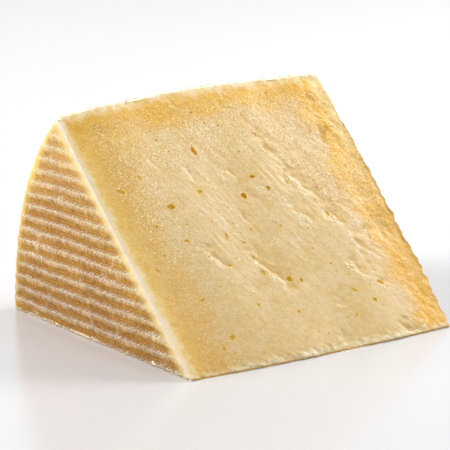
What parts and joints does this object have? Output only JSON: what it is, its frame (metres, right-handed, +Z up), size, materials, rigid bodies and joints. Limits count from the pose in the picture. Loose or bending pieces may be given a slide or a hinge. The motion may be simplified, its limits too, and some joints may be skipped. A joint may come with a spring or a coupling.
{
  "type": "sheep cheese wedge",
  "caption": "Wedge of aged pressed sheep's milk cheese lying on a cut face, with ridged pressed rind at its ends and small scattered eyes in the pale paste.",
  "frame": {"origin": "on the table, under the middle of the wedge's bounding box", "axes": "+Z up from the table; +X along the wheel's axis, from the ridged face that shows to the far flat face; +Y from the thin nose to the curved rind"},
  "size_m": [0.1004, 0.1024, 0.0682],
  "materials": {
    "cheese": "pale straw paste with a waxy satin sheen, deeper yellow near the tan pressed rind"
  },
  "bodies": {
    "root": {"cheese_wedge": "cheese"}
  },
  "joints": []
}
